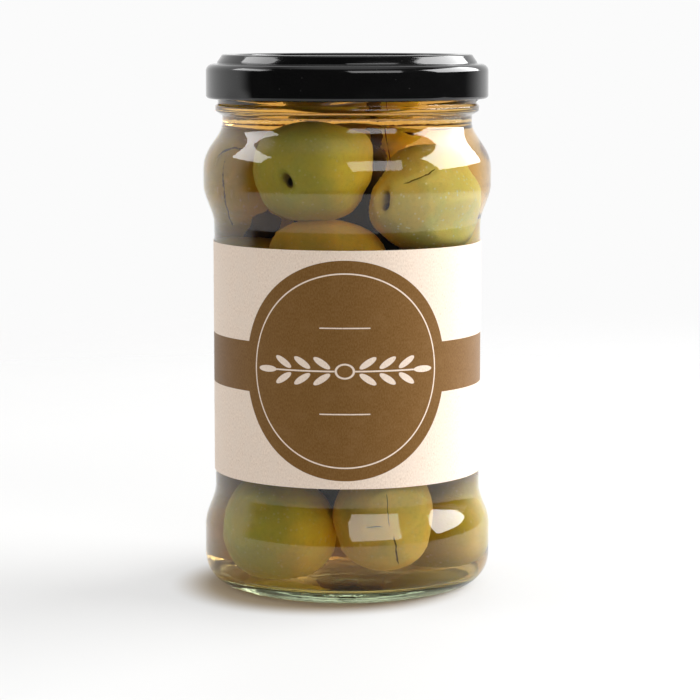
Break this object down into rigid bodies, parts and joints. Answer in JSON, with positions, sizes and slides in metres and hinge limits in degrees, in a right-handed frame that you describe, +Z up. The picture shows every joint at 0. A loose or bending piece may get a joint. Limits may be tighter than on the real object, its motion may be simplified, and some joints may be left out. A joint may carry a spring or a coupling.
{
  "type": "jar of cracked green olives",
  "caption": "Clear glass jar of cracked green olives in brine, waisted for a wrap-round paper label, closed by a black pressed metal twist lid.",
  "frame": {"origin": "middle of the jar's underside, on the surface that it stands on", "axes": "+Z up along the jar's axis, -Y towards the front of the label"},
  "size_m": [0.0676, 0.0676, 0.1248],
  "materials": {
    "glass": "clear soda-lime glass with a faint green cast, glossy",
    "lid_lacquer": "glossy black lacquer on pressed tinplate, gold lacquer inside",
    "label_paper": "matt uncoated cream paper with fine fibres, printed brown",
    "olive_flesh": "stands for wet olive skin and flesh, satin, green to golden brown"
  },
  "bodies": {
    "root": {"glass_jar": "glass", "lid": "lid_lacquer", "label": "label_paper", "olives": "olive_flesh"}
  },
  "joints": []
}
